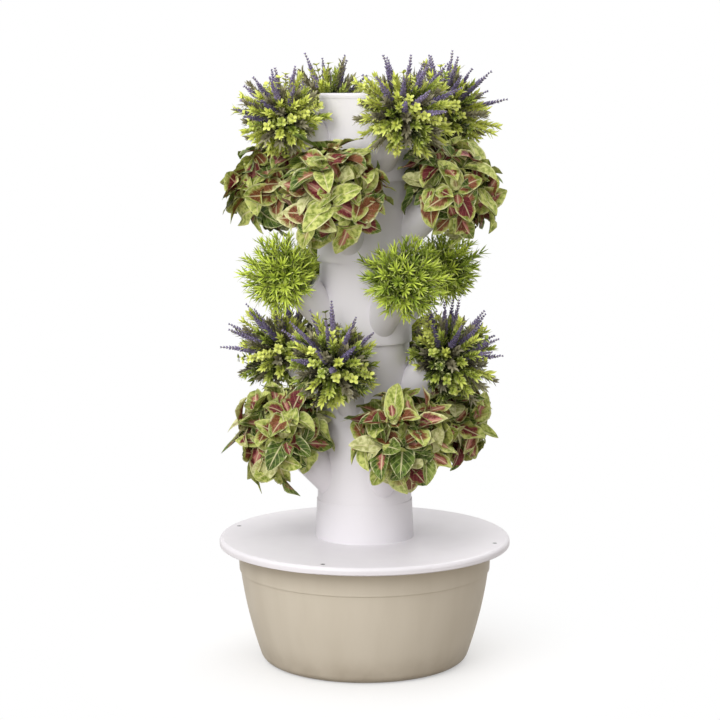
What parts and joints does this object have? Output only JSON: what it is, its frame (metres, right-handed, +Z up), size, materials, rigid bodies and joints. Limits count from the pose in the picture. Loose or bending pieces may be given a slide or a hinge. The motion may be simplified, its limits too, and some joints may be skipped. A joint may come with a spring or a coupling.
{
  "type": "hydroponic tower",
  "caption": "White vertical hydroponic tower of stacked planting tiers on a round lidded beige tank, with a plant in a net cup in every slanted pocket.",
  "frame": {"origin": "on the floor, under the middle of the tank", "axes": "+Z up the column; the lid's screws and the pockets of the second and fourth tiers lie on X and Y; the cord leaves towards +Y"},
  "size_m": [0.52, 0.52, 1.0887],
  "materials": {
    "white_plastic": "satin",
    "beige_plastic": "satin",
    "cup_plastic": "matte",
    "pipe_plastic": "satin",
    "pump_plastic": "satin",
    "seal_rubber": "matte",
    "screw_steel": "satin",
    "coleus_leaf": "matte",
    "lavender_leaf": "matte",
    "herb_leaf": "matte"
  },
  "bodies": {
    "base": {"water_tank": "beige_plastic", "tank_lid": "white_plastic", "lid_gasket": "seal_rubber", "lid_screws": "screw_steel", "cable_grommet": "seal_rubber", "tower_base": "white_plastic", "riser_pipe": "pipe_plastic", "spray_head": "pipe_plastic", "pump_body": "pump_plastic", "pump_intake_cover": "pump_plastic", "pump_shaft": "screw_steel", "pump_feet": "seal_rubber"},
    "rotor": {"pump_impeller": "pump_plastic"},
    "stack_1": {"tier_1": "white_plastic"},
    "stack_2": {"tier_2": "white_plastic"},
    "stack_3": {"tier_3": "white_plastic"},
    "stack_4": {"tier_4": "white_plastic"},
    "stack_5": {"tier_5": "white_plastic"},
    "cap": {"top_cap": "white_plastic"},
    "site_1a": {"net_cup_1a": "cup_plastic", "coleus_1a": "coleus_leaf"},
    "site_1b": {"net_cup_1b": "cup_plastic", "coleus_1b": "coleus_leaf"},
    "site_1c": {"net_cup_1c": "cup_plastic", "coleus_1c": "coleus_leaf"},
    "site_1d": {"net_cup_1d": "cup_plastic", "coleus_1d": "coleus_leaf"},
    "site_2a": {"net_cup_2a": "cup_plastic", "lavender_2a": "lavender_leaf"},
    "site_2b": {"net_cup_2b": "cup_plastic", "lavender_2b": "lavender_leaf"},
    "site_2c": {"net_cup_2c": "cup_plastic", "lavender_2c": "lavender_leaf"},
    "site_2d": {"net_cup_2d": "cup_plastic", "lavender_2d": "lavender_leaf"},
    "site_3a": {"net_cup_3a": "cup_plastic", "needle_herb_3a": "herb_leaf"},
    "site_3b": {"net_cup_3b": "cup_plastic", "needle_herb_3b": "herb_leaf"},
    "site_3c": {"net_cup_3c": "cup_plastic", "needle_herb_3c": "herb_leaf"},
    "site_3d": {"net_cup_3d": "cup_plastic", "needle_herb_3d": "herb_leaf"},
    "site_4a": {"net_cup_4a": "cup_plastic", "coleus_4a": "coleus_leaf"},
    "site_4b": {"net_cup_4b": "cup_plastic", "coleus_4b": "coleus_leaf"},
    "site_4c": {"net_cup_4c": "cup_plastic", "coleus_4c": "coleus_leaf"},
    "site_4d": {"net_cup_4d": "cup_plastic", "coleus_4d": "coleus_leaf"},
    "site_5a": {"net_cup_5a": "cup_plastic", "lavender_5a": "lavender_leaf"},
    "site_5b": {"net_cup_5b": "cup_plastic", "lavender_5b": "lavender_leaf"},
    "site_5c": {"net_cup_5c": "cup_plastic", "lavender_5c": "lavender_leaf"},
    "site_5d": {"net_cup_5d": "cup_plastic", "lavender_5d": "lavender_leaf"}
  },
  "joints": [
    {"name": "impeller_spin", "type": "hinge", "parent": "base", "child": "rotor", "pos_m": [0, 0, 0.032], "axis": [1, 0, 0], "continuous": true},
    {"name": "tier_1_lift", "type": "slide", "parent": "base", "child": "stack_1", "axis": [0, 0, 1], "range_m": [0, 0.06]},
    {"name": "tier_2_lift", "type": "slide", "parent": "stack_1", "child": "stack_2", "axis": [0, 0, 1], "range_m": [0, 0.06]},
    {"name": "tier_3_lift", "type": "slide", "parent": "stack_2", "child": "stack_3", "axis": [0, 0, 1], "range_m": [0, 0.06]},
    {"name": "tier_4_lift", "type": "slide", "parent": "stack_3", "child": "stack_4", "axis": [0, 0, 1], "range_m": [0, 0.06]},
    {"name": "tier_5_lift", "type": "slide", "parent": "stack_4", "child": "stack_5", "axis": [0, 0, 1], "range_m": [0, 0.06]},
    {"name": "cap_lift", "type": "slide", "parent": "stack_5", "child": "cap", "axis": [0, 0, 1], "range_m": [0, 0.05]},
    {"name": "cup_1a_pull", "type": "slide", "parent": "stack_1", "child": "site_1a", "axis": [0.4545, 0.4545, 0.766], "range_m": [0, 0.06]},
    {"name": "cup_1b_pull", "type": "slide", "parent": "stack_1", "child": "site_1b", "axis": [-0.4545, 0.4545, 0.766], "range_m": [0, 0.06]},
    {"name": "cup_1c_pull", "type": "slide", "parent": "stack_1", "child": "site_1c", "axis": [-0.4545, -0.4545, 0.766], "range_m": [0, 0.06]},
    {"name": "cup_1d_pull", "type": "slide", "parent": "stack_1", "child": "site_1d", "axis": [0.4545, -0.4545, 0.766], "range_m": [0, 0.06]},
    {"name": "cup_2a_pull", "type": "slide", "parent": "stack_2", "child": "site_2a", "axis": [0, 0.6428, 0.766], "range_m": [0, 0.06]},
    {"name": "cup_2b_pull", "type": "slide", "parent": "stack_2", "child": "site_2b", "axis": [-0.6428, 0, 0.766], "range_m": [0, 0.06]},
    {"name": "cup_2c_pull", "type": "slide", "parent": "stack_2", "child": "site_2c", "axis": [0, -0.6428, 0.766], "range_m": [0, 0.06]},
    {"name": "cup_2d_pull", "type": "slide", "parent": "stack_2", "child": "site_2d", "axis": [0.6428, 0, 0.766], "range_m": [0, 0.06]},
    {"name": "cup_3a_pull", "type": "slide", "parent": "stack_3", "child": "site_3a", "axis": [-0.4545, 0.4545, 0.766], "range_m": [0, 0.06]},
    {"name": "cup_3b_pull", "type": "slide", "parent": "stack_3", "child": "site_3b", "axis": [-0.4545, -0.4545, 0.766], "range_m": [0, 0.06]},
    {"name": "cup_3c_pull", "type": "slide", "parent": "stack_3", "child": "site_3c", "axis": [0.4545, -0.4545, 0.766], "range_m": [0, 0.06]},
    {"name": "cup_3d_pull", "type": "slide", "parent": "stack_3", "child": "site_3d", "axis": [0.4545, 0.4545, 0.766], "range_m": [0, 0.06]},
    {"name": "cup_4a_pull", "type": "slide", "parent": "stack_4", "child": "site_4a", "axis": [-0.6428, 0, 0.766], "range_m": [0, 0.06]},
    {"name": "cup_4b_pull", "type": "slide", "parent": "stack_4", "child": "site_4b", "axis": [0, -0.6428, 0.766], "range_m": [0, 0.06]},
    {"name": "cup_4c_pull", "type": "slide", "parent": "stack_4", "child": "site_4c", "axis": [0.6428, 0, 0.766], "range_m": [0, 0.06]},
    {"name": "cup_4d_pull", "type": "slide", "parent": "stack_4", "child": "site_4d", "axis": [0, 0.6428, 0.766], "range_m": [0, 0.06]},
    {"name": "cup_5a_pull", "type": "slide", "parent": "stack_5", "child": "site_5a", "axis": [-0.4545, -0.4545, 0.766], "range_m": [0, 0.06]},
    {"name": "cup_5b_pull", "type": "slide", "parent": "stack_5", "child": "site_5b", "axis": [0.4545, -0.4545, 0.766], "range_m": [0, 0.06]},
    {"name": "cup_5c_pull", "type": "slide", "parent": "stack_5", "child": "site_5c", "axis": [0.4545, 0.4545, 0.766], "range_m": [0, 0.06]},
    {"name": "cup_5d_pull", "type": "slide", "parent": "stack_5", "child": "site_5d", "axis": [-0.4545, 0.4545, 0.766], "range_m": [0, 0.06]}
  ]
}
